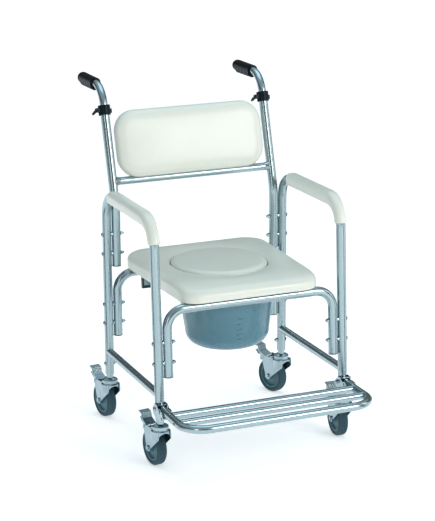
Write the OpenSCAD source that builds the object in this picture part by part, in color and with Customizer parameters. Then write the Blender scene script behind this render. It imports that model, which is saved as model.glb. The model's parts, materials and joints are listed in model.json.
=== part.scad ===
// Wheeled commode chair for a ward: bent aluminium tube frame, padded seat, back and arms,
// pull-out pail, fold-up footrest, telescopic push handles and four braked casters.
// Millimetres. +X is the sitter's left, the chair faces -Y, +Z is up, and the floor is z = 0.

/* [Overall] */
// Distance between the left and right leg centre lines
frame_w = 532; // [512:2:552]
// Height of the armrest tube's centre line
arm_z = 669; // [655:1:685]
// Height of the seat hoops' centre line
seat_hoop_z = 432; // [426:1:438]
// Front leg's place along Y at seat height
leg_front_y = -222; // [-226:1:-218]
// Rear leg's place along Y at seat height
leg_rear_y = 184; // [180:1:188]

/* [Tube] */
// Outer diameter of the frame tube
tube_d = 25.4; // [25:0.1:26]
// Wall of the frame tube
tube_wall = 1.55; // [1.5:0.05:1.6]
// Outer diameter of the braces, crossbar and footrest tube
small_d = 22.2; // [21.8:0.1:22.2]
// Wall of the small tube
small_wall = 1.5; // [1.2:0.1:2]

/* [Back] */
// Run of the back posts along Y for each millimetre they rise
back_lean = 0.27; // [0.24:0.01:0.3]
// Height of the push grips' centre line
grip_z = 952; // [946:1:960]
// Width of the back pad
back_pad_w = 438; // [420:2:440]
// Length of the back pad along its slope
back_pad_h = 190; // [180:1:196]
// Thickness of the back pad
back_pad_t = 44; // [40:1:46]

/* [Seat] */
// Half width of the seat cushion at its back
seat_half_back = 211; // [206:1:214]
// Half width of the seat cushion at its front
seat_half_front = 196; // [188:1:200]
// Height of the seat cushion's top
seat_top = 490; // [486:1:494]
// Radius of each end of the lid
lid_r = 129; // [124:1:131]

/* [Pail] */
// Radius of the pail's wall under its rim
pail_r = 131; // [126:1:133]
// Height of the pail's underside
pail_bottom = 268; // [262:1:274]
// Place of the pail's centre along Y
pail_y = -46; // [-46:1:-36]

/* [Footrest] */
// Place of the front bar's centre line along Y
foot_front_y = -435; // [-440:1:-425]
// Height of the footrest tube's centre line
foot_z = 170.5; // [170:0.5:172]

/* [Casters] */
// Wheel radius over the tyre
wheel_r = 50; // [49:0.5:50]
// Distance the wheel's centre trails behind the swivel axis
trail = 38.5; // [37:0.5:39]

/* [Hidden] */
$fn = 48;
leg_x = frame_w / 2;
inner_gap = 2;
inner_x = leg_x - tube_d - inner_gap;
front_lean = 0.021;
rear_lean = -0.04;
lean_z = 400;
leg_bottom = 139.5;
arm_bend = 68;
hoop_bend = 50;
hoop_end = 253.5;
hoop_bolts = [290.3, 345.9];
post_bolts = [493.4, 549.4];
leg_bolt_z = 169;
brace_z = 204;
bolt_d = 6;
hole_d = 6.4;

post_bottom = 458.7;
post_top = 888;
knee_bend = 100;
crossbar_z = 694;
post_y0 = 192;
knee_z = (leg_rear_y - rear_lean * lean_z - post_y0 + back_lean * crossbar_z)
    / (back_lean - rear_lean);
back_angle = atan(back_lean);
collar_z = 887;
collar_h = 28;
handle_bend = 70;
handle_bottom = 735;
handle_end_y = 440;
handle_d = 22.2;
grip_y0 = 316;
grip_y1 = 446;
grip_d = 32;

arm_pad_y = 108;
arm_pad_low = 612;
pad_mid_z = 790;
pad_offset = -9;
board_t = 6;

seat_bottom = 445;
seat_board_t = 8;
seat_y0 = -250;
seat_y1 = 228;
lid_y = 6;
lid_straight = 26;
lid_gap = 2;
lid_ledge = 21;
lid_board_t = 6;

rim_r = 151;
rim_z = 412.3;
rim_t = 3;
pail_wall = 2.5;
rail_x = 146;
rail_z = 409;
rail_d = 6;
hanger_x = 186;
hanger_y = 115;

foot_pin_y = -262;
foot_bar_y = [-304, -364];
foot_bend = 65;
foot_bar_d = 20.6;
cheek_t = 2.5;
stop_d = 6;

stem_d = 12;
axle_d = 10;
pedal_y = 58;
pedal_z = 104;
pedal_pin = 5;
tyre_w = 28;
hub_r = 38;
running = 0.1;
lap = 1;
hair = 0.02;

sides = [-1, 1];

function front_y(z) = leg_front_y + front_lean * (z - lean_z);
function rear_y(z) = leg_rear_y + rear_lean * (z - lean_z);
function leg_y(end, z) = end < 0 ? front_y(z) : rear_y(z);
function post_y(z) = post_y0 + back_lean * (z - crossbar_z);
function unit(v) = v / norm(v);
function turn(a, b, c) =
    let (u = unit(b - a), v = unit(c - b)) atan2(u.x * v.y - u.y * v.x, u * v);
function inside(p, i) = i > 0 && i < len(p) - 1;
function setback(p, i, r) = inside(p, i) ? r * tan(abs(turn(p[i - 1], p[i], p[i + 1])) / 2) : 0;

// Local X, Y and Z become Y, Z and X, for tubes bent in the chair's side plane.
module side_plane(x) {
    translate([x, 0, 0]) rotate([90, 0, 90]) children();
}

// Sweeps a profile along a path in the XY plane, with bends of radius r at its corners.
// The first child is the profile of the straight runs. The second is the bends' profile,
// a hair stouter, so that each straight run can end just inside its bends.
module flat_sweep(p, r) {
    n = len(p) - 1;
    for (i = [0 : n - 1]) {
        u = unit(p[i + 1] - p[i]);
        a = p[i] + u * (setback(p, i, r) - (i > 0 ? lap : 0));
        b = p[i + 1] - u * (setback(p, i + 1, r) - (i < n - 1 ? lap : 0));
        translate([a.x, a.y, 0])
            rotate([0, 0, atan2(u.y, u.x)])
                rotate([90, 0, 90])
                    linear_extrude(norm(b - a)) children(0);
    }
    for (i = [1 : n - 1]) {
        u = unit(p[i] - p[i - 1]);
        t = turn(p[i - 1], p[i], p[i + 1]);
        a = p[i] - u * setback(p, i, r);
        c = a + [-u.y, u.x] * r * sign(t);
        start = atan2(a.y - c.y, a.x - c.x);
        translate([c.x, c.y, 0])
            rotate([0, 0, t > 0 ? start : start + t])
                rotate_extrude(angle = abs(t)) translate([r, 0]) children(1);
    }
}

module ring(d, wall) {
    difference() {
        circle(d = d);
        circle(d = d - 2 * wall);
    }
}

// A tube along such a path, open at both ends. Its bends' walls are thicker inside by thick.
module flat_tube(p, r, d, wall, thick = hair) {
    flat_sweep(p, r) {
        ring(d, wall);
        ring(d + 2 * hair, wall + hair + thick);
    }
}

// A round bar along X, centred on x.
module x_bar(x, y, z, d, l) {
    translate([x - l / 2, y, z]) rotate([0, 90, 0]) cylinder(h = l, d = d);
}

module y_bar(x, y, z, d, l) {
    translate([x, y + l / 2, z]) rotate([90, 0, 0]) cylinder(h = l, d = d);
}

// Tilts what is upright to lie along a leg.
module leaned(end) {
    lean = end < 0 ? front_lean : rear_lean;
    translate([0, leg_y(end, lean_z), lean_z])
        rotate([-atan(lean), 0, 0])
            translate([0, 0, -lean_z]) children();
}

// The back posts' frame: origin on the post line at height z, local Z up the slope.
module sloped(z) {
    translate([0, post_y(z), z]) rotate([-back_angle, 0, 0]) children();
}

// Each bolt between a leg and the tube beside it: [leg end, height].
function frame_bolt_list() = [
    for (z = hoop_bolts) for (end = sides) [end, z],
    for (z = post_bolts) [1, z]
];

module bolt_holes() {
    for (s = sides) {
        for (b = frame_bolt_list()) {
            x_bar(s * (leg_x + inner_x) / 2, leg_y(b[0], b[1]), b[1], hole_d, 80);
        }
        for (end = sides) {
            x_bar(s * leg_x, leg_y(end, leg_bolt_z), leg_bolt_z, hole_d, 50);
        }
    }
}

// A short solid length of leg-sized tube, centred on a height, to cope what meets a leg.
module leg_run(x, end, z) {
    leaned(end) translate([x, 0, z - 25]) cylinder(h = 50, d = tube_d);
}

// ---- side loops, braces and seat hoops ----

loop_path = [
    [front_y(leg_bottom - 6), leg_bottom - 6],
    [front_y(arm_z), arm_z],
    [rear_y(arm_z), arm_z],
    [rear_y(leg_bottom - 6), leg_bottom - 6]
];

module side_loop(s) {
    color("lightsteelblue") difference() {
        side_plane(s * leg_x) flat_tube(loop_path, arm_bend, tube_d, tube_wall, 0.17);
        translate([-400, -400, leg_bottom - 40]) cube([800, 800, 40]);
        bolt_holes();
    }
}

module side_brace(s) {
    color("lightsteelblue") difference() {
        y_bar(s * leg_x, (front_y(brace_z) + rear_y(brace_z)) / 2, brace_z, small_d,
            rear_y(brace_z) - front_y(brace_z));
        y_bar(s * leg_x, 0, brace_z, small_d - 2 * small_wall, 600);
        for (end = sides) leg_run(s * leg_x, end, brace_z);
    }
}

hoop_path = [
    [-inner_x, hoop_end],
    [-inner_x, seat_hoop_z],
    [inner_x, seat_hoop_z],
    [inner_x, hoop_end]
];

module seat_hoop(end) {
    color("lightsteelblue") difference() {
        leaned(end) rotate([90, 0, 0]) flat_tube(hoop_path, hoop_bend, tube_d, tube_wall);
        bolt_holes();
    }
}

// ---- back posts and crossbar ----

post_path = [
    [rear_y(post_bottom), post_bottom],
    [post_y(knee_z), knee_z],
    [post_y(post_top), post_top]
];

// The post's straight upper stretch, as a solid bar.
module post_line(s) {
    translate([s * inner_x, 0, 0]) sloped(crossbar_z)
        translate([0, 0, -40]) cylinder(h = 80, d = tube_d);
}

module back_post(s) {
    color("lightsteelblue") difference() {
        side_plane(s * inner_x) flat_tube(post_path, knee_bend, tube_d, tube_wall);
        bolt_holes();
    }
}

module back_crossbar() {
    color("lightsteelblue") difference() {
        union() {
            x_bar(0, post_y(crossbar_z), crossbar_z, small_d, 2 * inner_x);
            for (s = sides) {
                translate([s * (inner_x - 9), post_y(crossbar_z), crossbar_z])
                    rotate([0, -90 * s, 0])
                        cylinder(h = 12, d1 = 28, d2 = small_d);
            }
        }
        x_bar(0, post_y(crossbar_z), crossbar_z, small_d - 2 * small_wall, 2 * inner_x + 10);
        for (s = sides) post_line(s);
    }
}

// ---- small frame hardware ----

module end_plug(z) {
    translate([0, 0, z]) cylinder(h = 14, d = tube_d - 2 * tube_wall);
    translate([0, 0, z - 3]) cylinder(h = 3, d = tube_d);
}

module tube_end_plugs() {
    color("dimgray") for (s = sides) {
        for (end = sides) {
            leaned(end) translate([s * inner_x, 0, 0]) end_plug(hoop_end);
        }
        translate([0, rear_y(post_bottom) - leg_rear_y, 0])
            translate([s * inner_x, leg_rear_y, post_bottom])
                rotate([-atan(rear_lean), 0, 0])
                    end_plug(0);
    }
}

module tube_spacers() {
    color("silver") for (s = sides) for (b = frame_bolt_list()) difference() {
        x_bar(s * (leg_x + inner_x) / 2, leg_y(b[0], b[1]), b[1], 13, 12);
        leg_run(s * leg_x, b[0], b[1]);
        leg_run(s * inner_x, b[0], b[1]);
        x_bar(s * (leg_x + inner_x) / 2, leg_y(b[0], b[1]), b[1], hole_d, 20);
    }
}

// Round head against the outer tube's crest, shank through to x_in.
module dome_bolt(s, x_out, x_in, y, z) {
    x_bar(s * (x_out + x_in) / 2, y, z, bolt_d, x_out - x_in);
    translate([s * x_out, y, z])
        rotate([0, 90 * s, 0])
            intersection() {
                cylinder(h = 4.5, d = 12);
                translate([0, 0, -2]) sphere(r = 6.5);
            }
}

module frame_bolts() {
    color("silver") for (s = sides) {
        for (b = frame_bolt_list()) {
            dome_bolt(s, leg_x + tube_d / 2, inner_x - tube_d / 2 - 6, leg_y(b[0], b[1]), b[1]);
        }
        for (end = sides) {
            grip = end < 0 ? cheek_t + 0.15 : 0;
            dome_bolt(s, leg_x + tube_d / 2 + grip, leg_x - tube_d / 2 - grip - 6,
                leg_y(end, leg_bolt_z), leg_bolt_z);
        }
    }
}

// Cap nut: a hexagon with a pointed dome, its seat at x and its point towards the middle.
module cap_nut(s, x, y, z) {
    translate([s * x, y, z]) rotate([0, -90 * s, 0]) difference() {
        union() {
            cylinder(h = 5, d = 11.5, $fn = 6);
            translate([0, 0, 5]) cylinder(h = 4.5, d1 = 9.5, d2 = 4);
        }
        translate([0, 0, -1]) cylinder(h = 7, d = bolt_d);
    }
}

module frame_cap_nuts() {
    color("silver") for (s = sides) {
        for (b = frame_bolt_list()) {
            cap_nut(s, inner_x - tube_d / 2, leg_y(b[0], b[1]), b[1]);
        }
        for (end = sides) {
            grip = end < 0 ? cheek_t + 0.15 : 0;
            cap_nut(s, leg_x - tube_d / 2 - grip, leg_y(end, leg_bolt_z), leg_bolt_z);
        }
    }
}

// ---- telescopic push handles ----

handle_path = [
    [post_y(handle_bottom), handle_bottom],
    [post_y(grip_z), grip_z],
    [handle_end_y, grip_z]
];

module handle_tube(s) {
    color("lightsteelblue")
        side_plane(s * inner_x) flat_tube(handle_path, handle_bend, handle_d, small_wall);
}

module handle_grip(s) {
    color("black") difference() {
        union() {
            y_bar(s * inner_x, (grip_y0 + grip_y1 - 15) / 2, grip_z, grip_d, grip_y1 - 15 - grip_y0);
            intersection() {
                translate([s * inner_x, grip_y1 - 15, grip_z]) sphere(d = grip_d);
                y_bar(s * inner_x, grip_y1, grip_z, grip_d, 32);
            }
            y_bar(s * inner_x, grip_y0 + 4, grip_z - 1.5, grip_d + 1, 8);
        }
        y_bar(s * inner_x, 0, grip_z, handle_d, 2 * handle_end_y);
    }
}

// Split collar round the post's top, with two ears for the cam lever on its -X side.
module clamp_collar(s) {
    color("black") translate([s * inner_x, 0, 0]) sloped(collar_z) difference() {
        union() {
            translate([0, 0, -collar_h / 2]) cylinder(h = collar_h, d = 34);
            for (e = sides) {
                translate([-25, e * 6.5 - 1.5, -5]) cube([14, 3, 12]);
            }
            translate([12, -5, -9]) cube([8, 10, 12]);
        }
        translate([0, 0, -collar_h]) cylinder(h = 2 * collar_h, d = handle_d + 0.7);
        translate([0, 0, -collar_h]) cylinder(h = collar_h + 1.2, d = tube_d);
        translate([-22, 20, 2]) rotate([90, 0, 0]) cylinder(h = 40, d = 4 + running);
        translate([-30, -4.8, -20]) cube([18, 9.6, 40]);
    }
}

// Cam lever: a pin in the collar's ears and a tapered tongue that hangs down and out.
module clamp_lever(s) {
    color("black") translate([s * inner_x, 0, 0]) sloped(collar_z) {
        translate([-22, 8, 2]) rotate([90, 0, 0]) cylinder(h = 16, d = 4);
        translate([-22, 4.4, 2]) rotate([90, 0, 0]) linear_extrude(8.8) {
            circle(r = 3.6);
            polygon([[2.6, -2.6], [-2.6, 2.6], [-14, -8], [-13, -14], [-10, -13]]);
        }
    }
}

// ---- back pad ----

module rounded_rect(w, h, r) {
    square([w - 2 * r, h], center = true);
    square([w, h - 2 * r], center = true);
    for (a = sides) for (b = sides) {
        translate([a * (w / 2 - r), b * (h / 2 - r)]) circle(r = r);
    }
}

// A slab across the back's slope: from offset n0 to n1 behind the post line.
module back_slab(n0, n1) {
    sloped(pad_mid_z) translate([0, n1, 0]) rotate([90, 0, 0]) linear_extrude(n1 - n0) children();
}

pad_front = pad_offset - back_pad_t / 2;
pad_back = pad_offset + back_pad_t / 2;

module back_pad() {
    color("ivory") difference() {
        union() {
            back_slab(pad_front, pad_back) rounded_rect(back_pad_w - 16, back_pad_h - 16, 52);
            back_slab(pad_front + 10, pad_back - 8) rounded_rect(back_pad_w, back_pad_h, 60);
        }
        back_slab(pad_back - board_t, pad_back + 2) rounded_rect(back_pad_w - 60, back_pad_h - 50, 40);
        x_bar(0, post_y(crossbar_z), crossbar_z, small_d + 1, 500);
    }
}

module back_pad_board() {
    color("dimgray") difference() {
        back_slab(pad_back - board_t, pad_back) rounded_rect(back_pad_w - 60, back_pad_h - 50, 40);
        back_screw_shanks(4.2);
    }
}

strap_x = 120;
strap_t = 4;

// The straps stand on the crossbar's back and carry the pad's board.
module back_pad_straps() {
    color("lightsteelblue") difference() {
        for (s = sides) {
            back_slab(pad_back, pad_back + strap_t)
                translate([s * strap_x - 14, -108]) square([28, 148]);
            back_slab(2, pad_back + strap_t) translate([s * strap_x - 14, -108]) square([28, 12]);
        }
        x_bar(0, post_y(crossbar_z), crossbar_z, small_d, 500);
        back_screw_shanks(4.4);
    }
}

module at_back_screws() {
    for (s = sides) for (h = [-40, 25]) {
        sloped(pad_mid_z) translate([s * strap_x, pad_back, h]) rotate([-90, 0, 0]) children();
    }
}

module back_screw_shanks(d) {
    at_back_screws() translate([0, 0, -board_t - 1]) cylinder(h = 20, d = d);
}

module back_pad_screws() {
    color("silver") at_back_screws() {
        translate([0, 0, -board_t + 0.5]) cylinder(h = board_t + strap_t, d = 4);
        translate([0, 0, strap_t]) cylinder(h = 2.6, d1 = 9, d2 = 6);
    }
}

// ---- arm pads ----

module arm_pad_profile(e) {
    difference() {
        rounded_rect(35 + 2 * e, 39 + 2 * e, 12 + e);
        circle(d = tube_d + 0.4 - 2 * e);
    }
}

module arm_pad(s) {
    corner = [front_y(arm_z), arm_z];
    run = arm_pad_low - 16;
    color("ivory") difference() {
        side_plane(s * leg_x)
            flat_sweep([[arm_pad_y, arm_z], corner, [front_y(run), run]], arm_bend) {
                arm_pad_profile(0);
                arm_pad_profile(0.15);
            }
        translate([s * leg_x - 40, front_y(run) - 40, run - 10])
            cube([80, 80, arm_pad_low - run + 10]);
    }
}

// ---- seat, its board and lid ----

module seat_outline(inset) {
    hull() {
        for (s = sides) {
            translate([s * (seat_half_back - 70), seat_y1 - 70]) circle(r = 70 - inset);
            translate([s * (seat_half_front - 50), seat_y0 + 50]) circle(r = 50 - inset);
        }
    }
}

module oval(r) {
    for (e = sides) {
        translate([0, e * lid_straight / 2]) circle(r = r);
    }
    square([2 * r, lid_straight], center = true);
}

module seat_layer(z0, z1, inset, hole_r) {
    translate([0, 0, z0]) linear_extrude(z1 - z0) difference() {
        seat_outline(inset);
        translate([0, lid_y]) oval(hole_r);
    }
}

module seat_cushion() {
    color("ivory") {
        difference() {
            seat_layer(seat_bottom, seat_top - 10, 0, lid_r + lid_gap);
            seat_layer(seat_bottom - 1, seat_bottom + seat_board_t, 12, 1);
        }
        seat_layer(seat_top - 10, seat_top - 3, 8, lid_r + lid_gap);
    }
}

module seat_board() {
    color("dimgray") seat_layer(seat_bottom, seat_bottom + seat_board_t, 12, lid_r - lid_ledge);
}

// Half saddles screwed under the board, each hugging the inner side of a seat hoop.
module seat_clips() {
    color("dimgray") difference() {
        for (s = sides) for (end = sides) {
            translate([s * 95 - 15, leg_y(end, seat_hoop_z) - (end < 0 ? 0 : 19), seat_hoop_z - 6])
                cube([30, 19, seat_bottom - seat_hoop_z + 6]);
        }
        for (end = sides) {
            x_bar(0, leg_y(end, seat_hoop_z), seat_hoop_z, tube_d, 300);
        }
    }
}

lid_z = seat_bottom + seat_board_t + 0.3;

module lid_board() {
    color("dimgray") translate([0, lid_y, lid_z]) linear_extrude(lid_board_t) oval(lid_r - 6);
}

module seat_lid() {
    color("ivory") translate([0, lid_y, lid_z]) difference() {
        union() {
            linear_extrude(32) oval(lid_r);
            translate([0, 0, 32]) linear_extrude(6) oval(lid_r - 10);
        }
        translate([0, 0, -1]) linear_extrude(lid_board_t + 1) oval(lid_r - 6);
    }
}

// ---- pail, rails and hangers ----

// Half section of the pail's outside, shrunk by t for its inside.
module pail_half(t) {
    corner = 38;
    low_r = pail_r - 15;
    intersection() {
        union() {
            translate([0, pail_bottom + t]) square([low_r - corner, rim_z]);
            translate([low_r - corner, pail_bottom + corner]) circle(r = corner - t);
            polygon([
                [0, pail_bottom + corner],
                [low_r - t, pail_bottom + corner],
                [pail_r - t, rim_z + 1],
                [pail_r - t, rim_z + 20],
                [0, rim_z + 20]
            ]);
        }
        square([400, rim_z + rim_t + 10]);
    }
}

module pail() {
    color("cadetblue") translate([0, pail_y, 0]) rotate_extrude() difference() {
        union() {
            intersection() {
                pail_half(0);
                square([400, rim_z + rim_t]);
            }
            translate([pail_r - 4, rim_z]) square([rim_r - pail_r + 4, rim_t]);
        }
        pail_half(pail_wall);
    }
}

module pail_rails() {
    color("gray") for (s = sides) {
        y_bar(s * rail_x, 5, rail_z, rail_d, 380);
        translate([s * rail_x, -150, rail_z]) cylinder(h = seat_bottom - rail_z, d = rail_d);
    }
}

hanger_top = rail_z - rail_d / 2;

// Dark L-shaped strips that drop from the board and turn in under the rails.
module pail_hangers() {
    color("dimgray") for (s = sides) {
        translate([s * hanger_x - 2.5, hanger_y - 6, hanger_top]) cube([5, 12, seat_bottom - hanger_top]);
        translate([s < 0 ? -hanger_x - 2.5 : rail_x - 3, hanger_y - 6, hanger_top - 5])
            cube([hanger_x + 2.5 - rail_x + 3, 12, 5]);
    }
}

// Thin webs that stiffen the hangers.
module pail_brackets() {
    color("lightsteelblue") for (s = sides) {
        translate([s < 0 ? -hanger_x + 2.5 : rail_x + 8, hanger_y - 1, hanger_top])
            cube([hanger_x - 2.5 - rail_x - 8, 2, seat_bottom - hanger_top]);
    }
}

// ---- footrest ----

foot_path = [
    [-leg_x, foot_pin_y + 12],
    [-leg_x, foot_front_y],
    [leg_x, foot_front_y],
    [leg_x, foot_pin_y + 12]
];

module footrest_frame() {
    color("lightsteelblue") difference() {
        translate([0, 0, foot_z]) flat_tube(foot_path, foot_bend, small_d, small_wall);
        x_bar(0, foot_pin_y, foot_z, 8 + running, frame_w + 60);
        x_bar(0, foot_bar_y[1], foot_z, 4.4, frame_w + 60);
    }
}

module footrest_bars() {
    color("lightsteelblue") difference() {
        for (y = foot_bar_y) x_bar(0, y, foot_z, foot_bar_d, frame_w - 10);
        for (y = foot_bar_y) x_bar(0, y, foot_z, foot_bar_d - 2 * small_wall, frame_w + 10);
        for (s = sides) y_bar(s * leg_x, foot_bar_y[0] - 30, foot_z, small_d, 120);
    }
}

// Rivets with a round head that hold the front crossbar's ends.
module footrest_studs() {
    color("silver") for (s = sides) {
        x_bar(s * (leg_x - 1), foot_bar_y[1], foot_z, 4.2, small_d + 2);
        translate([s * (leg_x + small_d / 2 - 0.4), foot_bar_y[1], foot_z])
            rotate([0, 90 * s, 0])
                intersection() {
                    cylinder(h = 4, d = 9);
                    translate([0, 0, -2]) sphere(r = 6);
                }
    }
}

module cheek_shape(y0) {
    back = leg_y(-1, leg_bolt_z);
    translate([back, leg_bolt_z - 5]) circle(r = 15);
    translate([y0 + 15, leg_bolt_z - 7]) circle(r = 15);
    translate([y0 + 15, leg_bolt_z - 22]) square([back - y0 - 15, 30]);
    translate([-248, 163]) square([back + 248, 22]);
}

// Two cheeks that clasp the leg and the footrest's arm, with a web over the arm's end.
module footrest_bracket(s) {
    inner = tube_d / 2 + 0.15;
    color("silver") difference() {
        union() {
            for (e = sides) {
                side_plane(s * leg_x + e * (inner + cheek_t / 2))
                    translate([0, 0, -cheek_t / 2]) linear_extrude(cheek_t) cheek_shape(-285);
            }
            translate([s * leg_x - inner - 1, -247.5, 183]) cube([2 * inner + 2, 6.5, 2]);
            translate([s * leg_x - inner - 1, -262, leg_bolt_z - 22]) cube([2 * inner + 2, 20, 2]);
        }
        bolt_holes();
        x_bar(s * leg_x, foot_pin_y, foot_z, 8, 60);
        x_bar(s * leg_x, foot_pin_y - 15, stop_z, stop_d, 60);
    }
}

stop_z = foot_z - small_d / 2 - stop_d / 2 - 0.3;

// Pivot pins for the arms and, under them, the stop pins that hold the footrest level.
module footrest_pins() {
    l = tube_d + 2 * cheek_t + 0.3;
    color("silver") for (s = sides) {
        x_bar(s * leg_x, foot_pin_y, foot_z, 8, l);
        x_bar(s * leg_x, foot_pin_y - 15, stop_z, stop_d, l);
        for (e = sides) {
            x_bar(s * leg_x + e * (l / 2 + 0.9), foot_pin_y, foot_z, 11, 1.8);
            x_bar(s * leg_x + e * (l / 2 + 0.7), foot_pin_y - 15, stop_z, 8, 1.4);
        }
    }
}

// ---- casters ----

// Puts what is drawn round the swivel axis at one of the four legs, as far round as it stands.
function caster_turn(s, end) = end < 0 ? (s < 0 ? 7 : -4) : (s < 0 ? 9 : 20);

module at_leg(s, end) {
    translate([s * leg_x, leg_y(end, leg_bottom), 0]) children();
}

module at_caster(s, end) {
    at_leg(s, end) rotate([0, 0, caster_turn(s, end)]) children();
}

module caster_stem(s, end) {
    difference() {
        leaned(end) translate([s * leg_x, 0, leg_bottom - 1])
            cylinder(h = 41, d = tube_d - 2 * tube_wall);
        translate([-400, -400, leg_bottom - 40]) cube([800, 800, 40]);
        bolt_holes();
    }
    at_leg(s, end) {
        translate([0, 0, 136.5]) cylinder(h = 3, d = tube_d);
        translate([0, 0, 126]) cylinder(h = 11, d = 20);
        translate([0, 0, 122.5]) cylinder(h = 4, d1 = 40, d2 = 24);
        translate([0, 0, 106]) cylinder(h = 18, d = stem_d);
        translate([0, 0, 104.5]) cylinder(h = 4.6, d = 19);
    }
}

module caster_stems() {
    color("silver") for (s = sides) for (end = sides) caster_stem(s, end);
}

fork_in = 17.4;
fork_t = 2.5;

// Side of the fork, from its crown down to the axle, with an ear for the pedal's pin.
module fork_side() {
    translate([trail, wheel_r]) circle(r = 10.5);
    translate([pedal_y, pedal_z]) circle(r = 6);
    polygon([
        [-23, 90], [-18, 84], [trail - 9.5, wheel_r - 3], [trail + 9.8, wheel_r + 3],
        [pedal_y + 5.5, pedal_z - 3], [pedal_y, pedal_z + 6], [24, 111], [-22, 111]
    ]);
}

module caster_fork(s, end) {
    color("silver") at_caster(s, end) difference() {
        union() {
            rotate_extrude() polygon([
                [0, 84], [26, 84], [26, 108], [22, 112], [22, 120], [20, 122], [0, 122]
            ]);
            for (e = sides) {
                side_plane(e * (fork_in + fork_t / 2))
                    translate([0, 0, -fork_t / 2]) linear_extrude(fork_t) fork_side();
            }
        }
        difference() {
            translate([0, 0, 80]) cylinder(h = 29.4, r = 23.5);
            for (e = sides) {
                translate([e * (fork_in + 5) - 5, -40, 70]) cube([10, 80, 50]);
            }
        }
        translate([-fork_in, 0, 80]) cube([2 * fork_in, 60, 29.4]);
        y_bar(0, -20, 88, 2 * fork_in, 40);
        translate([-fork_in, -40, 70]) cube([2 * fork_in, 60, 18]);
        translate([0, 0, 100]) cylinder(h = 30, d = stem_d + running);
        x_bar(0, pedal_y, pedal_z, pedal_pin + running, 60);
        x_bar(0, trail, wheel_r, axle_d, 60);
    }
    color("silver") at_caster(s, end) {
        x_bar(0, trail, wheel_r, axle_d, 2 * (fork_in + fork_t));
        for (e = sides) {
            translate([e * (fork_in + fork_t), trail, wheel_r]) rotate([0, 90 * e, 0])
                cylinder(h = 4, d = 14, $fn = 6);
        }
    }
}

module caster_hub(s, end) {
    color("slategray") at_caster(s, end)
        translate([0, trail, wheel_r]) rotate([0, 90, 0]) rotate_extrude() polygon([
            [axle_d / 2 + running / 2, -16.5], [11, -16.5], [13, -9], [30, -6], [33, -12],
            [hub_r, -12], [hub_r, 12], [33, 12], [30, 6], [13, 9], [11, 16.5],
            [axle_d / 2 + running / 2, 16.5]
        ]);
}

module caster_tyre(s, end) {
    w = tyre_w / 2;
    color("darkslategray") at_caster(s, end)
        translate([0, trail, wheel_r]) rotate([0, 90, 0]) rotate_extrude() polygon([
            [hub_r, -12], [40, -w], [45, -w], [48.6, -w + 3], [wheel_r, -w + 8],
            [wheel_r, w - 8], [48.6, w - 3], [45, w], [40, w], [hub_r, 12]
        ]);
}

// Brake pedal: pin, tread plate above, release tab below and a shoe over the tyre.
module caster_pedal(s, end) {
    color("silver") at_caster(s, end) {
        x_bar(0, pedal_y, pedal_z, pedal_pin, 2 * (fork_in + fork_t) + 2);
        side_plane(-15) linear_extrude(30) {
            translate([pedal_y, pedal_z]) circle(r = 5);
            polygon([
                [pedal_y - 3, pedal_z + 4], [80, 118], [84, 133], [101, 136], [101, 133],
                [86.5, 130], [83, 116], [pedal_y + 4, pedal_z - 3]
            ]);
            polygon([[pedal_y + 2, pedal_z - 4.5], [73, 95], [73, 91.5], [77, 96], [74, 111], [66, 109]]);
        }
        side_plane(-11) linear_extrude(22)
            polygon([[70, 110], [88, 108], [99, 118], [101, 116], [89, 105], [72, 106]]);
    }
}

// ---- output ----

side_loop(1);  // side_loop_left
side_loop(-1);  // side_loop_right
side_brace(1);  // side_brace_left
side_brace(-1);  // side_brace_right
seat_hoop(-1);  // seat_hoop_front
seat_hoop(1);  // seat_hoop_rear
back_post(1);  // back_post_left
back_post(-1);  // back_post_right
back_crossbar();
tube_end_plugs();
tube_spacers();
frame_bolts();
frame_cap_nuts();
clamp_collar(1);  // clamp_collar_left
clamp_collar(-1);  // clamp_collar_right
clamp_lever(1);  // clamp_lever_left
clamp_lever(-1);  // clamp_lever_right
handle_tube(1);  // handle_tube_left
handle_tube(-1);  // handle_tube_right
handle_grip(1);  // handle_grip_left
handle_grip(-1);  // handle_grip_right
back_pad();
back_pad_board();
back_pad_straps();
back_pad_screws();
arm_pad(1);  // arm_pad_left
arm_pad(-1);  // arm_pad_right
seat_cushion();
seat_board();
seat_clips();
seat_lid();
lid_board();
pail();
pail_rails();
pail_hangers();
pail_brackets();
footrest_frame();
footrest_bars();
footrest_studs();
footrest_bracket(1);  // footrest_bracket_left
footrest_bracket(-1);  // footrest_bracket_right
footrest_pins();
caster_stems();
caster_fork(1, -1);  // fork_front_left
caster_hub(1, -1);  // hub_front_left
caster_tyre(1, -1);  // tyre_front_left
caster_pedal(1, -1);  // pedal_front_left
caster_fork(-1, -1);  // fork_front_right
caster_hub(-1, -1);  // hub_front_right
caster_tyre(-1, -1);  // tyre_front_right
caster_pedal(-1, -1);  // pedal_front_right
caster_fork(1, 1);  // fork_rear_left
caster_hub(1, 1);  // hub_rear_left
caster_tyre(1, 1);  // tyre_rear_left
caster_pedal(1, 1);  // pedal_rear_left
caster_fork(-1, 1);  // fork_rear_right
caster_hub(-1, 1);  // hub_rear_right
caster_tyre(-1, 1);  // tyre_rear_right
caster_pedal(-1, 1);  // pedal_rear_right
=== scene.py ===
import json
import math

import bmesh
import bpy
import numpy as np
from mathutils import Matrix, Vector


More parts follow.
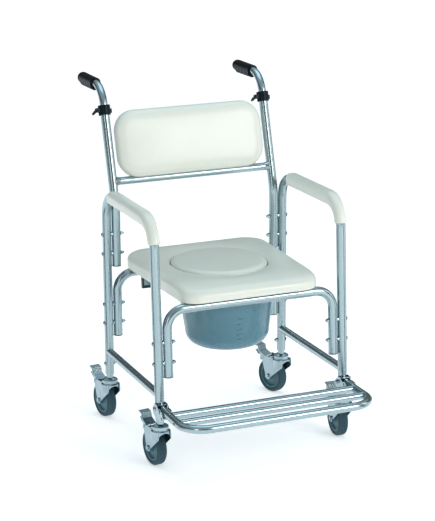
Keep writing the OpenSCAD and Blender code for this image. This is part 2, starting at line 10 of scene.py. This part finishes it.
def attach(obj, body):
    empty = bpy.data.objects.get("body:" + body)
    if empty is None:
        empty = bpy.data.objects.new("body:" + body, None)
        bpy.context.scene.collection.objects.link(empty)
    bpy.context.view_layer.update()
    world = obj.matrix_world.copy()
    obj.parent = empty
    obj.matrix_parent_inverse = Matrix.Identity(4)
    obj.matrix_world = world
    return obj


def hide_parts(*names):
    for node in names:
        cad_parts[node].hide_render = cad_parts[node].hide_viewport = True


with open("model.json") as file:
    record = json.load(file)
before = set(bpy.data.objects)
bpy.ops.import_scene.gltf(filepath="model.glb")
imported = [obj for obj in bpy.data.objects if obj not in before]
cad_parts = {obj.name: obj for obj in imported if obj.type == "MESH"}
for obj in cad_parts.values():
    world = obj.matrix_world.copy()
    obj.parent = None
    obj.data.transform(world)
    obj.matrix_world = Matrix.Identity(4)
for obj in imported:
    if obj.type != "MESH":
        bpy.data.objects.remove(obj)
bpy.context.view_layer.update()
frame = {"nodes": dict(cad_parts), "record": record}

SIDES = {"left": 1, "right": -1}
CORNERS = [f"{end}_{side}" for end in ("front", "rear") for side in SIDES]

# ---- camera ----

AZIMUTH, ELEVATION, ROLL = (math.radians(a) for a in (-21.345, 14.929, -1.142))
TARGET = Vector((-0.000134, 0.015, 0.4827))
DISTANCE = 5.0014
SENSOR_MM = 36
FOCAL_PX, LONG_SIDE_PX = 1809.08, 521

camera_data = bpy.data.cameras.new("camera")
camera_data.sensor_width = SENSOR_MM
camera_data.lens = FOCAL_PX * SENSOR_MM / LONG_SIDE_PX
camera_data.clip_end = 100
camera = bpy.data.objects.new("camera", camera_data)
away = Vector((
    math.sin(AZIMUTH) * math.cos(ELEVATION),
    -math.cos(AZIMUTH) * math.cos(ELEVATION),
    math.sin(ELEVATION),
))
level = (-away).cross(Vector((0, 0, 1))).normalized()
upright = level.cross(-away)
right = math.cos(ROLL) * level + math.sin(ROLL) * upright
up = math.cos(ROLL) * upright - math.sin(ROLL) * level
facing = Matrix((right, up, away)).transposed().to_4x4()
camera.matrix_world = Matrix.Translation(TARGET + DISTANCE * away) @ facing
bpy.context.scene.collection.objects.link(camera)
bpy.context.scene.camera = camera

# ---- materials ----


def material(name, colour, rough, metal=0.0, vary=0.06, vary_scale=9, rough_vary=0.08, rough_scale=30,
             bump=0.0, bump_scale=200, bump_kind="noise", coat=0.0, stretch=None, tint=None, specular=0.5,
             subsurface=0.0):
    """A procedural finish: mottled colour, uneven roughness and a fine bump."""
    m = bpy.data.materials.new(name)
    m.use_nodes = True
    nodes, links = m.node_tree.nodes, m.node_tree.links
    shader = nodes["Principled BSDF"]
    shader.inputs["Metallic"].default_value = metal
    shader.inputs["Specular IOR Level"].default_value = specular
    shader.inputs["Coat Weight"].default_value = coat
    shader.inputs["Coat Roughness"].default_value = 0.15
    if subsurface:
        shader.inputs["Subsurface Weight"].default_value = subsurface
        shader.inputs["Subsurface Radius"].default_value = (0.006, 0.005, 0.004)
        shader.inputs["Subsurface Scale"].default_value = 1.0
    coordinates = nodes.new("ShaderNodeTexCoord")
    mapping = nodes.new("ShaderNodeMapping")
    mapping.inputs["Scale"].default_value = stretch or (1, 1, 1)
    links.new(coordinates.outputs["Object"], mapping.inputs["Vector"])

    def noise(scale, detail=3):
        n = nodes.new("ShaderNodeTexNoise")
        n.inputs["Scale"].default_value = scale
        n.inputs["Detail"].default_value = detail
        links.new(mapping.outputs["Vector"], n.inputs["Vector"])
        return n

    mix = nodes.new("ShaderNodeMix")
    mix.data_type = "RGBA"
    dark = [c * (1 - vary) for c in colour]
    light = [min(1, c * (1 + vary)) for c in (tint or colour)]
    mix.inputs["A"].default_value = (*dark, 1)
    mix.inputs["B"].default_value = (*light, 1)
    links.new(noise(vary_scale).outputs["Fac"], mix.inputs["Factor"])
    links.new(mix.outputs["Result"], shader.inputs["Base Color"])
    spread = nodes.new("ShaderNodeMapRange")
    spread.inputs["To Min"].default_value = max(0.02, rough - rough_vary)
    spread.inputs["To Max"].default_value = min(1, rough + rough_vary)
    links.new(noise(rough_scale, 5).outputs["Fac"], spread.inputs["Value"])
    links.new(spread.outputs["Result"], shader.inputs["Roughness"])
    if bump:
        b = nodes.new("ShaderNodeBump")
        b.inputs["Strength"].default_value = bump
        b.inputs["Distance"].default_value = 0.0006
        if bump_kind == "grain":
            cell = nodes.new("ShaderNodeTexVoronoi")
            cell.inputs["Scale"].default_value = bump_scale
            cell.feature = "SMOOTH_F1"
            links.new(mapping.outputs["Vector"], cell.inputs["Vector"])
            links.new(cell.outputs["Distance"], b.inputs["Height"])
        else:
            links.new(noise(bump_scale, 4).outputs["Fac"], b.inputs["Height"])
        links.new(b.outputs["Normal"], shader.inputs["Normal"])
    return m


LOOKS = {
    "tube": material(
        "anodised_tube", (0.38, 0.475, 0.50), 0.24, metal=1.0, vary=0.04, vary_scale=7,
        rough_vary=0.05, rough_scale=60, bump=0.05, bump_scale=900,
    ),
    "bright_steel": material(
        "zinc_plate", (0.29, 0.40, 0.445), 0.20, metal=1.0, vary=0.10, vary_scale=40,
        rough_vary=0.09, rough_scale=90, bump=0.10, bump_scale=500, tint=(0.43, 0.52, 0.55),
    ),
    "pad_cream": material(
        "moulded_skin", (0.75, 0.765, 0.68), 0.36, vary=0.02, vary_scale=14,
        rough_vary=0.06, rough_scale=40, bump=0.08, bump_scale=600, bump_kind="grain",
        coat=0.25, subsurface=0.15,
    ),
    "board": material(
        "sealed_board", (0.11, 0.10, 0.09), 0.55, vary=0.25, vary_scale=30,
        rough_vary=0.08, rough_scale=50, bump=0.2, bump_scale=300, stretch=(0.2, 1, 1),
    ),
    "black_plastic": material(
        "black_plastic", (0.004, 0.011, 0.015), 0.34, vary=0.2, vary_scale=60,
        rough_vary=0.08, rough_scale=80, specular=0.12,
    ),
    "black_grip": material(
        "grip_rubber", (0.002, 0.006, 0.008), 0.36, vary=0.25, vary_scale=60,
        rough_vary=0.1, rough_scale=80, specular=0.1,
    ),
    "plug": material(
        "end_plug", (0.075, 0.085, 0.095), 0.5, vary=0.15, vary_scale=60,
        rough_vary=0.08, rough_scale=80, bump=0.12, bump_scale=600,
    ),
    "pail_plastic": material(
        "pail_plastic", (0.095, 0.225, 0.285), 0.28, vary=0.06, vary_scale=18,
        rough_vary=0.06, rough_scale=30, bump=0.06, bump_scale=260, coat=0.15, subsurface=0.1,
    ),
    "dark_steel": material(
        "dark_coat", (0.035, 0.05, 0.058), 0.4, metal=0.2, vary=0.2, vary_scale=60,
        rough_vary=0.08, rough_scale=80, bump=0.2, bump_scale=500,
    ),
    "hub_plastic": material(
        "hub_plastic", (0.075, 0.165, 0.20), 0.42, vary=0.1, vary_scale=50,
        rough_vary=0.08, rough_scale=80, bump=0.04, bump_scale=300, specular=0.3,
    ),
    "tyre": material(
        "tyre_rubber", (0.028, 0.075, 0.094), 0.62, vary=0.2, vary_scale=45,
        rough_vary=0.1, rough_scale=90, bump=0.1, bump_scale=500, bump_kind="grain", specular=0.3,
    ),
}

for part in frame["record"]["subparts"]:
    obj = frame["nodes"][part["node"]]
    look = LOOKS[part["material_slot"]]
    obj.data.materials.clear()
    obj.data.materials.append(look)

# ---- mesh helpers ----


def rings_mesh(name, rings, slot, cap=(True, True), loop=False):
    """A skin through rings of points, each closed on itself. loop joins the last ring to the first."""
    n = len(rings[0])
    points = [tuple(p) for ring in rings for p in ring]
    faces = []
    count = len(rings)
    for i in range(count if loop else count - 1):
        a, b = i * n, ((i + 1) % count) * n
        for k in range(n):
            j = (k + 1) % n
            faces.append((a + k, a + j, b + j, b + k))
    for at, wanted in ((0, cap[0]), (count - 1, cap[1])):
        if wanted and not loop:
            points.append(tuple(np.mean(np.array(rings[at]), axis=0)))
            c = len(points) - 1
            for k in range(n):
                j = (k + 1) % n
                tri = (at * n + k, at * n + j, c)
                faces.append(tri if at else tri[::-1])
    mesh = bpy.data.meshes.new(name)
    mesh.from_pydata(points, [], faces)
    mesh.validate()
    mesh.polygons.foreach_set("use_smooth", [True] * len(mesh.polygons))
    obj = bpy.data.objects.new(name, mesh)
    bpy.context.scene.collection.objects.link(obj)
    mesh.materials.append(LOOKS[slot])
    outward(obj)
    return obj


def outward(obj):
    """Turns a mesh's faces to look outwards."""
    b = bmesh.new()
    b.from_mesh(obj.data)
    bmesh.ops.recalc_face_normals(b, faces=b.faces)
    b.to_mesh(obj.data)
    b.free()


def turned(name, profile, centre, axis, slot, segments=96, loop=False, cap=(True, True)):
    """A solid of revolution: profile pairs are (radius, distance along axis) about the centre."""
    axis = Vector(axis).normalized()
    side = axis.orthogonal().normalized()
    other = axis.cross(side)
    rings = []
    for r, h in profile:
        rings.append([
            Vector(centre) + axis * h + r * (math.cos(a) * side + math.sin(a) * other)
            for a in (2 * math.pi * k / segments for k in range(segments))
        ])
    return rings_mesh(name, rings, slot, cap, loop)


def arc(cx, cy, r, a0, a1, steps):
    return [
        (cx + r * math.cos(math.radians(a0 + (a1 - a0) * k / steps)),
         cy + r * math.sin(math.radians(a0 + (a1 - a0) * k / steps)))
        for k in range(steps + 1)
    ]


# ---- shapes shared with the frame ----

LEG_X = 0.266
INNER_X = 0.2386
LEAN = math.atan(0.27)


def front_y(z):
    return -0.222 + 0.021 * (z - 0.4)


def rear_y(z):
    return 0.184 - 0.04 * (z - 0.4)


def post_y(z):
    return 0.192 + 0.27 * (z - 0.694)


def polygon_distance(p, corners):
    """Signed distance from points to a convex polygon, negative inside."""
    p = np.asarray(p, float)
    best = np.full(len(p), 1e9)
    inside = np.full(len(p), -1e9)
    for k in range(len(corners)):
        a, b = np.array(corners[k]), np.array(corners[(k + 1) % len(corners)])
        e = b - a
        t = np.clip(((p - a) @ e) / (e @ e), 0, 1)
        best = np.minimum(best, np.linalg.norm(p - a - t[:, None] * e, axis=1))
        normal = np.array((e[1], -e[0])) / np.linalg.norm(e)
        inside = np.maximum(inside, (p - a) @ normal)
    return np.where(inside <= 0, inside, best)


def ray_radius(distance, centre, angles, reach=0.5):
    """How far from centre a star-shaped outline is, at each angle."""
    low, high = np.zeros(len(angles)), np.full(len(angles), reach)
    way = np.stack((np.cos(angles), np.sin(angles)), axis=1)
    for _ in range(40):
        mid = (low + high) / 2
        out = distance(np.array(centre) + mid[:, None] * way) > 0
        high = np.where(out, mid, high)
        low = np.where(out, low, mid)
    return low, way


def bulge(d, r, power=2.0):
    """From 0 at the rim to 1 at a distance r inside it, round as a quarter circle."""
    t = np.clip(np.asarray(d, float) / r, 0, 1)
    return (1 - (1 - t) ** power) ** (1 / power)


# ---- back pad ----

PAD_Z = 0.790
PAD_HALF = (0.219, 0.095)
PAD_R = 0.060
FACE_INSET = 0.035
BAR_Z, BAR_CLEAR = 0.694, 0.0114


def pad_distance(p):
    q = np.abs(np.asarray(p, float)) - (np.array(PAD_HALF) - PAD_R)
    return np.linalg.norm(np.maximum(q, 0), axis=1) + np.minimum(np.max(q, axis=1), 0) - PAD_R


def back_point(x, n, u):
    return (x, post_y(PAD_Z) + n * math.cos(LEAN) + u * math.sin(LEAN),
            PAD_Z - n * math.sin(LEAN) + u * math.cos(LEAN))


def build_back_pad():
    count = 240
    # The points are spaced evenly along the outline, not in angle.
    fine = np.linspace(0, 2 * math.pi, 4001)
    radius, way = ray_radius(pad_distance, (0, 0), fine)
    edge = radius[:, None] * way
    length = np.concatenate(([0], np.cumsum(np.linalg.norm(np.diff(edge, axis=0), axis=1))))
    angles = np.interp(np.linspace(0, length[-1], count, endpoint=False), length, fine)
    radius, way = ray_radius(pad_distance, (0, 0), angles)
    a, b = PAD_HALF
    edge_n, front_n, back_n = -0.003, -0.024, 0.0128

    def front(p):
        d = -pad_distance(p)
        across = 1 - np.clip(np.abs(p[:, 0] / a), 0, 1) ** 2.4
        along = 1 - np.clip(np.abs(p[:, 1] / b), 0, 1) ** 2
        crown = 0.0068 * across * along
        return edge_n + (front_n - edge_n) * bulge(d, 0.030, 2.2) - crown

    rings = []
    for inset, n in ((0.026, 0.0066), (0.0235, 0.0066), (0.0225, 0.0075), (0.0215, 0.0115), (0.0195, 0.0126),
                     (0.016, back_n), (0.010, back_n - 0.0003), (0.006, 0.0112), (0.003, 0.0085),
                     (0.001, 0.0045), (0.0, 0.0)):
        p = (radius - inset)[:, None] * way
        rings.append([back_point(x, n, u) for x, u in p])
    for inset in (0.0, 0.0004, 0.0012, 0.0024, 0.004, 0.006, 0.0085, 0.0115, 0.015, 0.019, 0.0235, 0.029,
                  FACE_INSET):
        p = (radius - inset)[:, None] * way
        rings.append([back_point(x, n, u) for (x, u), n in zip(p, front(p))])
    for share in (0.9, 0.8, 0.7, 0.6, 0.5, 0.4, 0.3, 0.2, 0.1, 0.03):
        p = ((radius - FACE_INSET) * share)[:, None] * way
        rings.append([back_point(x, n, u) for (x, u), n in zip(p, front(p))])
    # The lower edge rests on the crossbar.
    bar = Vector((0, post_y(BAR_Z), BAR_Z))
    seated = []
    for ring in rings:
        out = []
        for p in ring:
            dy, dz = p[1] - bar.y, p[2] - bar.z
            r = math.hypot(dy, dz)
            if r < BAR_CLEAR:
                dy, dz = dy * BAR_CLEAR / r, dz * BAR_CLEAR / r
            out.append((p[0], bar.y + dy, bar.z + dz))
        seated.append(out)
    return rings_mesh("back_pad_skin", seated, "pad_cream")


back_pad = build_back_pad()
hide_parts("back_pad")
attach(back_pad, "frame")

# ---- seat pad and lid ----

SEAT_ROUNDS = [
    ((s * x, y), r) for x, y, r in ((0.141, 0.158, 0.070), (0.146, -0.200, 0.050)) for s in (1, -1)
]
LID_Y, LID_R, LID_HALF = 0.006, 0.129, 0.013


def hull_outline(rounds, count=240):
    """The hull of some circles as a polygon that runs counter-clockwise."""
    points = []
    for k in range(count):
        a = 2 * math.pi * k / count
        way = np.array((math.cos(a), math.sin(a)))
        centre, r = max(rounds, key=lambda c: np.dot(c[0], way) + c[1])
        points.append(np.array(centre) + r * way)
    return points


SEAT_OUTLINE = hull_outline(SEAT_ROUNDS)


def seat_distance(p):
    return polygon_distance(p, SEAT_OUTLINE)


def oval_distance(p, r):
    q = np.array(p, float) - np.array((0, LID_Y))
    q[:, 1] = np.sign(q[:, 1]) * np.maximum(np.abs(q[:, 1]) - LID_HALF, 0)
    return np.linalg.norm(q, axis=1) - r


def build_seat():
    count = 260
    angles = np.linspace(0, 2 * math.pi, count, endpoint=False)
    outer, way = ray_radius(seat_distance, (0, LID_Y), angles)
    inner, _ = ray_radius(lambda p: oval_distance(p, LID_R + 0.002), (0, LID_Y), angles)
    centre = np.array((0, LID_Y))
    rings = []

    def put(radius, z):
        p = centre + radius[:, None] * way
        zz = np.broadcast_to(z, (count,))
        rings.append([(x, y, h) for (x, y), h in zip(p, zz)])

    def top(radius):
        p = centre + radius[:, None] * way
        d = -seat_distance(p)
        e = oval_distance(p, LID_R + 0.002)
        dish = np.clip(1 - e / 0.055, 0, 1)
        front = np.clip((-0.150 - p[:, 1]) / 0.10, 0, 1)
        crest = 0.4885 - 0.0065 * dish ** 1.5 - 0.012 * front ** 1.8
        rim = crest - 0.017 * (1 - bulge(d, 0.024, 2.0))
        lip = 0.006 * (1 - bulge(e, 0.007, 2.0))
        return rim - lip

    for inset, z in ((0.0125, 0.4536), (0.0123, 0.4458), (0.009, 0.4451), (0.005, 0.4453), (0.002, 0.4468),
                     (0.0006, 0.4490), (0.0, 0.4525), (0.0, 0.4550)):
        put(outer - inset, z)
    for inset in (0.0, 0.0003, 0.001, 0.002, 0.0035, 0.0055, 0.008, 0.011, 0.0145, 0.0185, 0.023):
        put(outer - inset, top(outer - inset))
    for share in (0.12, 0.25, 0.4, 0.55, 0.7, 0.82, 0.92):
        radius = (outer - 0.023) * (1 - share) + (inner + 0.009) * share
        put(radius, top(radius))
    for e in (0.009, 0.0065, 0.0045, 0.003, 0.0018, 0.0008, 0.0002, 0.0):
        put(inner + e, top(inner + e))
    put(inner, 0.468)
    put(inner, 0.4545)
    put(inner + 0.001, 0.4536)
    return rings_mesh("seat_pad_skin", rings, "pad_cream", loop=True)


def build_lid():
    count = 220
    angles = np.linspace(0, 2 * math.pi, count, endpoint=False)
    centre = np.array((0, LID_Y))
    outer, way = ray_radius(lambda p: oval_distance(p, LID_R), (0, LID_Y), angles)
    rings = []

    def put(radius, z):
        p = centre + radius[:, None] * way
        zz = np.broadcast_to(z, (count,))
        rings.append([(x, y, h) for (x, y), h in zip(p, zz)])

    def top(radius):
        p = centre + radius[:, None] * way
        d = -oval_distance(p, LID_R)
        return 0.4775 + 0.0105 * bulge(d, 0.016, 2.0) + 0.0028 * bulge(d, 0.11, 1.6)

    for inset, z in ((0.0115, 0.4597), (0.0065, 0.4597), (0.0058, 0.4594), (0.0055, 0.4540), (0.0035, 0.4535),
                     (0.0012, 0.4545), (0.0003, 0.4565), (0.0, 0.460), (0.0, 0.470)):
        put(outer - inset, z)
    for inset in (0.0, 0.0003, 0.001, 0.002, 0.0035, 0.0055, 0.008, 0.011, 0.0145, 0.019, 0.026, 0.036):
        put(outer - inset, top(outer - inset))
    for share in (0.85, 0.7, 0.55, 0.4, 0.25, 0.12, 0.04):
        put((outer - 0.036) * share, top((outer - 0.036) * share))
    return rings_mesh("lid_skin", rings, "pad_cream")


seat = build_seat()
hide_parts("seat_cushion")
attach(seat, "frame")
lid = build_lid()
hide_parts("seat_lid")
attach(lid, "lid")

# ---- arm pads ----

ARM_Z, ARM_BEND, PAD_REAR_Y, PAD_LOW_Z = 0.669, 0.068, 0.108, 0.612


def arm_path():
    """Points along the pad with the unit normal that faces up or forward, and the distance run."""
    corner = Vector((front_y(ARM_Z), ARM_Z))
    down = (Vector((front_y(PAD_LOW_Z), PAD_LOW_Z)) - corner).normalized()
    ahead = Vector((-1, 0))
    turn = math.acos(ahead.dot(down))
    setback = ARM_BEND * math.tan(turn / 2)
    start = corner - ahead * setback
    middle = start + Vector((0, -ARM_BEND))
    last = math.acos((PAD_LOW_Z - middle.y) / ARM_BEND)
    points = []
    for k in range(30):
        y = PAD_REAR_Y + (start.x - PAD_REAR_Y) * k / 30
        points.append((Vector((y, ARM_Z)), Vector((0, 1))))
    for k in range(25):
        a = last * k / 24
        normal = Vector((-math.sin(a), math.cos(a)))
        points.append((middle + ARM_BEND * normal, normal))
    run, out = 0.0, []
    for i, (p, normal) in enumerate(points):
        if i:
            run += (p - points[i - 1][0]).length
        out.append((p, normal, run))
    return out


def rounded_section(half_w, half_h, r, count=48):
    """Points of a rounded rectangle, evenly spread."""
    corners = [(half_w - r, half_h - r, 0), (-half_w + r, half_h - r, 90),
               (-half_w + r, -half_h + r, 180), (half_w - r, -half_h + r, 270)]
    per = count // 4
    points = []
    for cx, cy, a in corners:
        points += arc(cx, cy, r, a, a + 90, per - 1)
    return points


def build_arm_pad(side, s):
    path = arm_path()
    total = path[-1][2]
    rings = []

    def ring(p, normal, shrink, along, k):
        tangent = Vector((normal.y, -normal.x)) * -1
        half_w = 0.0195 * (1 - k) + 0.0162 * k - shrink
        half_h = 0.0175 * (1 - k) + 0.0162 * k - shrink
        r = min(0.0125 * (1 - k) + 0.0161 * k, half_w, half_h) - 0.00005
        base = p + tangent * along
        out = []
        for w, h in rounded_section(half_w, half_h, r):
            crown = 0.0 if k > 0.5 else 0.0012 * (1 - (w / 0.0195) ** 2) * (1 if h > 0 else 0)
            q = base + normal * (h + crown * (1 - k))
            out.append((s * LEG_X + w, q.x, q.y))
        return out

    def blend(run):
        t = min(max((run - (total - 0.105)) / 0.085, 0), 1)
        return t * t * (3 - 2 * t)

    p, normal, _ = path[0]
    for shrink, along in ((0.0065, 0.0), (0.0035, 0.0004), (0.0016, 0.0014), (0.0005, 0.0032), (0.0, 0.006)):
        rings.append(ring(p, normal, shrink, along, 0))
    for p, normal, run in path[1:-1]:
        if run > 0.0065:
            rings.append(ring(p, normal, 0, 0, blend(run)))
    p, normal, _ = path[-1]
    for shrink, along in ((0.0, -0.002), (0.0006, -0.0008), (0.0018, 0.0), (0.0031, 0.0)):
        rings.append(ring(p, normal, shrink, along, 1))
    return rings_mesh(f"arm_pad_skin_{side}", rings, "pad_cream")


for side, s in SIDES.items():
    pad = build_arm_pad(side, s)
    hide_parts(f"arm_pad_{side}")
    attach(pad, "frame")

# ---- push-handle grips ----

GRIP_Z = 0.952


def build_grip(side, s):
    rings = []
    count = 56

    def ring(y, r, finger=0.0, squeeze=0.0):
        out = []
        for k in range(count):
            a = 2 * math.pi * k / count
            below = max(0.0, -math.sin(a)) ** 1.5
            rr = r + finger * below - squeeze * abs(math.cos(a)) ** 3
            out.append((s * INNER_X + rr * math.cos(a), y, GRIP_Z + rr * math.sin(a)))
        return out

    for y, r in ((0.3160, 0.0115), (0.3160, 0.0140), (0.3166, 0.0152), (0.3180, 0.0160)):
        rings.append(ring(y, r, 0.0010))
    steps = 72
    for k in range(1, steps):
        t = k / steps
        y = 0.3180 + t * (0.4270 - 0.3180)
        wave = 0.5 + 0.5 * math.cos(2 * math.pi * 4.5 * t)
        end = min(1, (1 - t) / 0.12)
        rings.append(ring(y, 0.0158 + 0.0006 * t, (0.0008 + 0.0044 * wave) * end, 0.0007))
    for a in range(0, 90, 7):
        turn = math.radians(a)
        rings.append(ring(0.4290 + 0.0172 * math.sin(turn), 0.0001 + 0.0163 * math.cos(turn) ** 0.8))
    return rings_mesh(f"grip_skin_{side}", rings, "black_grip")


for side, s in SIDES.items():
    grip = build_grip(side, s)
    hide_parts(f"handle_grip_{side}")
    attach(grip, f"handle_{side}")

# ---- casters: grooved tyres ----

STEM_Z, TRAIL, WHEEL_R = 0.1395, 0.0385, 0.050
CASTER_TURN = {"front_left": -4, "front_right": 7, "rear_left": 20, "rear_right": 9}


def stem_y(end):
    return front_y(STEM_Z) if end == "front" else rear_y(STEM_Z)


def build_wheel(corner):
    end, side = corner.split("_")
    turn = math.radians(CASTER_TURN[corner])
    centre = (SIDES[side] * LEG_X - TRAIL * math.sin(turn), stem_y(end) + TRAIL * math.cos(turn), WHEEL_R)
    profile = [(0.0381, -0.0119), (0.0395, -0.0138), (0.042, -0.01395), (0.0445, -0.01385), (0.0465, -0.0131),
               (0.0480, -0.0117), (0.0489, -0.0100)]
    x = -0.0088
    for _ in range(6):
        profile += [(0.0497, x), (0.0499, x + 0.0009), (0.0497, x + 0.0018), (0.0490, x + 0.0021),
                    (0.0490, x + 0.0027)]
        x += 0.00308
    profile += [(r, -h) for r, h in profile[6::-1]]
    axle = (math.cos(turn), math.sin(turn), 0)
    tyre = turned(f"tyre_tread_{corner}", profile, centre, axle, "tyre", 128, cap=(False, False), loop=True)
    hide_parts(f"tyre_{corner}")
    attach(tyre, f"wheel_{corner}")


for corner in CORNERS:
    build_wheel(corner)

# ---- pail with its graduation ridges ----

PAIL_Y = -0.046
PAIL_BOTTOM, PAIL_SKIN = 0.268, 0.0025
ROUND_Z, ROUND_R, ROUND_X = 0.306, 0.038, 0.078
MARK_AT = -95
MARKS = ((0.365, 8), (0.3495, 6), (0.334, 8), (0.3185, 6), (0.306, 8))


def pail_radius(z):
    """Outer radius of the straight, tapered part of the wall."""
    return 0.116 + 0.015 * (z - ROUND_Z) / 0.1073


def pail_profile():
    floor_z = PAIL_BOTTOM + PAIL_SKIN
    outer = [(0.0004, PAIL_BOTTOM), (0.035, PAIL_BOTTOM), (0.070, PAIL_BOTTOM)]
    outer += arc(ROUND_X, ROUND_Z, ROUND_R, -90, 0, 14)
    outer += [(pail_radius(z), z) for z in (0.330, 0.350, 0.372, 0.392, 0.4118)]
    rim = [(0.1325, 0.4124), (0.148, 0.4124), (0.1506, 0.4130), (0.151, 0.4138), (0.1506, 0.4147),
           (0.149, 0.4153), (0.1312, 0.4153), (0.1294, 0.4147), (0.1286, 0.4130)]
    inner = [(pail_radius(z) - PAIL_SKIN, z) for z in (0.392, 0.372, 0.350, 0.330)]
    inner += arc(ROUND_X, ROUND_Z, ROUND_R - PAIL_SKIN, 0, -90, 14)
    inner += [(0.035, floor_z), (0.0004, floor_z)]
    return outer + rim + inner


def build_pail():
    return turned("pail_shell", pail_profile(), (0, PAIL_Y, 0), (0, 0, 1), "pail_plastic", 144)


def build_mark(k, z, wide):
    """A short ridge round the pail's front, thinner towards its ends. wide is in degrees."""
    rings = []
    steps, sides = 16, 10
    for i in range(steps + 1):
        a = math.radians(MARK_AT + wide * (i / steps - 0.5))
        fade = math.sin(math.pi * min(max(i / steps, 0.02), 0.98)) ** 0.35
        ring = []
        for b in range(sides):
            t = 2 * math.pi * b / sides
            r = pail_radius(z) + 0.0019 * fade * math.cos(t)
            ring.append((r * math.cos(a), PAIL_Y + r * math.sin(a), z + 0.0016 * math.sin(t) * fade))
        rings.append(ring)
    ridge = rings_mesh(f"pail_mark_{k}", rings, "pail_plastic")
    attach(ridge, "pail")


pail = build_pail()
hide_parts("pail")
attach(pail, "pail")
for k, (z, wide) in enumerate(MARKS):
    build_mark(k, z, wide)

# ---- floor and light ----

FLOOR_GLOW, FAR_GLOW = 0.46, 0.80

bpy.context.scene.view_settings.view_transform = "Standard"


def flat_mesh(name, points, faces, look):
    mesh = bpy.data.meshes.new(name)
    mesh.from_pydata(points, [], faces)
    obj = bpy.data.objects.new(name, mesh)
    bpy.context.scene.collection.objects.link(obj)
    mesh.materials.append(look)
    return obj


def around(r, degrees, z):
    a = math.radians(degrees)
    return (r * math.sin(a), -r * math.cos(a), z)


def build_floor():
    n, radii = 64, (0.01, 1, 3, 8, 20, 40)
    points = [around(r, 360 * k / n, -0.0002) for r in radii for k in range(n)]
    faces = [tuple(range(n))]
    for i in range(len(radii) - 1):
        for k in range(n):
            j = (k + 1) % n
            faces.append((i * n + k, (i + 1) * n + k, (i + 1) * n + j, i * n + j))
    look = material("floor_paper", (0.93, 0.93, 0.93), 0.75, vary=0.004, vary_scale=2, bump=0.02,
                    bump_scale=60, specular=0.1)
    nodes, links = look.node_tree.nodes, look.node_tree.links
    nodes["Principled BSDF"].inputs["Emission Color"].default_value = (1, 1, 1, 1)
    place = nodes.new("ShaderNodeTexCoord")
    reach = nodes.new("ShaderNodeVectorMath")
    reach.operation = "LENGTH"
    glow = nodes.new("ShaderNodeMapRange")
    glow.inputs["From Min"].default_value, glow.inputs["From Max"].default_value = 1.5, 9.0
    glow.inputs["To Min"].default_value, glow.inputs["To Max"].default_value = FLOOR_GLOW, FAR_GLOW
    links.new(place.outputs["Object"], reach.inputs[0])
    links.new(reach.outputs["Value"], glow.inputs["Value"])
    links.new(glow.outputs["Result"], nodes["Principled BSDF"].inputs["Emission Strength"])
    flat_mesh("floor", points, faces, look)


def build_flag(name, middle, half, near=0.75, far=9.0):
    """A dark wedge on the floor that only reflections see, for the dark lines along the tubes."""
    look = bpy.data.materials.new(name)
    look.use_nodes = True
    look.node_tree.nodes["Principled BSDF"].inputs["Base Color"].default_value = (0.01, 0.01, 0.012, 1)
    points = [around(r, middle + side * half, 0.0006) for r, side in ((near, -1), (far, -1), (far, 1), (near, 1))]
    obj = flat_mesh(name, points, [(0, 1, 2, 3)], look)
    obj.visible_camera = obj.visible_diffuse = obj.visible_shadow = obj.visible_transmission = False


build_floor()
for k, (middle, half) in enumerate(((48, 7), (-92, 9), (112, 12))):
    build_flag(f"flag_{k}", middle, half)


def area_light(name, place, aim, size, power, colour=(1, 1, 1), glossy=True):
    data = bpy.data.lights.new(name, "AREA")
    data.shape = "RECTANGLE"
    data.size, data.size_y = size
    data.energy = power
    data.color = colour
    obj = bpy.data.objects.new(name, data)
    obj.visible_glossy = glossy
    obj.location = place
    obj.rotation_euler = (Vector(aim) - Vector(place)).to_track_quat("-Z", "Y").to_euler()
    bpy.context.scene.collection.objects.link(obj)


MIDDLE = (0, 0, 0.5)
area_light("key", (2.1, -4.2, 2.3), MIDDLE, (2.0, 2.0), 92, (1.0, 0.995, 0.98))
area_light("strip", (-3.0, -3.2, 1.5), MIDDLE, (0.5, 2.0), 14)
area_light("side", (3.2, -1.2, 1.6), MIDDLE, (0.8, 2.0), 12)
area_light("top", (0.3, 0.6, 3.6), MIDDLE, (2.6, 2.6), 30, (0.68, 0.88, 1.0))
area_light("back", (-1.4, 3.4, 2.2), MIDDLE, (2.6, 1.6), 24, glossy=False)

world = bpy.data.worlds.new("studio")
bpy.context.scene.world = world
world.use_nodes = True
nodes, links = world.node_tree.nodes, world.node_tree.links
background = nodes["Background"]
coordinates = nodes.new("ShaderNodeTexCoord")
split = nodes.new("ShaderNodeSeparateXYZ")
ramp = nodes.new("ShaderNodeValToRGB")
links.new(coordinates.outputs["Generated"], split.inputs["Vector"])
links.new(split.outputs["Z"], ramp.inputs["Fac"])
ramp.color_ramp.elements[0].position = 0.0
ramp.color_ramp.elements[0].color = (0.80, 0.82, 0.84, 1)
ramp.color_ramp.elements[1].position = 1.0
ramp.color_ramp.elements[1].color = (0.50, 0.66, 0.76, 1)
for place, grey in ((0.06, 0.30), (0.30, 0.10), (0.42, 0.16), (0.55, 0.62)):
    e = ramp.color_ramp.elements.new(place)
    e.color = (grey * 0.9, grey, grey * 1.05, 1)
links.new(ramp.outputs["Color"], background.inputs["Color"])
background.inputs["Strength"].default_value = 0.8
